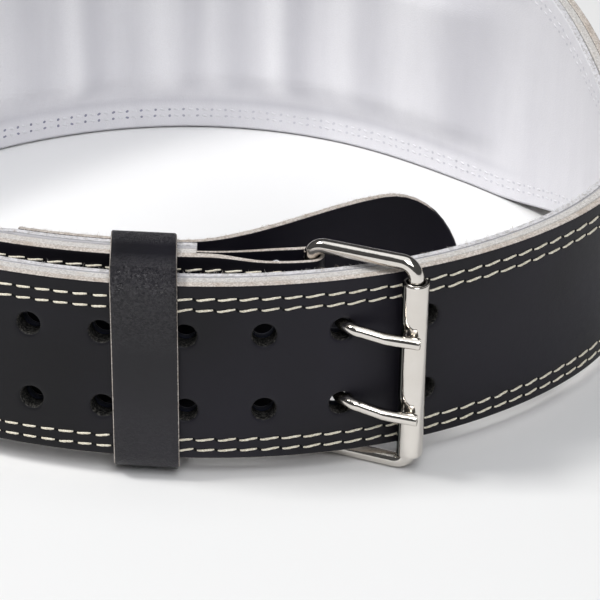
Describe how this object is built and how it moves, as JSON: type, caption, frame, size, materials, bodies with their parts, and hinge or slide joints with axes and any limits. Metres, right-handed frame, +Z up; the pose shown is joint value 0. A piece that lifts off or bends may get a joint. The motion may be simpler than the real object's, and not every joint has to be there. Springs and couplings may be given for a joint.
{
  "type": "weightlifting belt",
  "caption": "Leather weightlifting belt with a wide padded back, suede lining, roller buckle, keeper and guard, buckled and standing on its edge.",
  "frame": {"origin": "on the floor under the middle of the closed belt's box", "axes": "+Z up, -Y to the buckle at the front, +X to the side where the roller lies"},
  "size_m": [0.3216, 0.2896, 0.1],
  "materials": {
    "black_leather": "smooth semi-gloss",
    "filler_board": "matt, cut edge",
    "grey_suede": "suede",
    "nickel": "bright nickel plate",
    "thread": "waxed thread"
  },
  "bodies": {
    "root": {"outer_leather": "black_leather", "filler": "filler_board", "lining": "grey_suede", "guard": "black_leather", "keeper": "black_leather", "buckle_frame": "nickel", "roller": "nickel", "prong_upper": "nickel", "prong_lower": "nickel"}
  },
  "joints": []
}
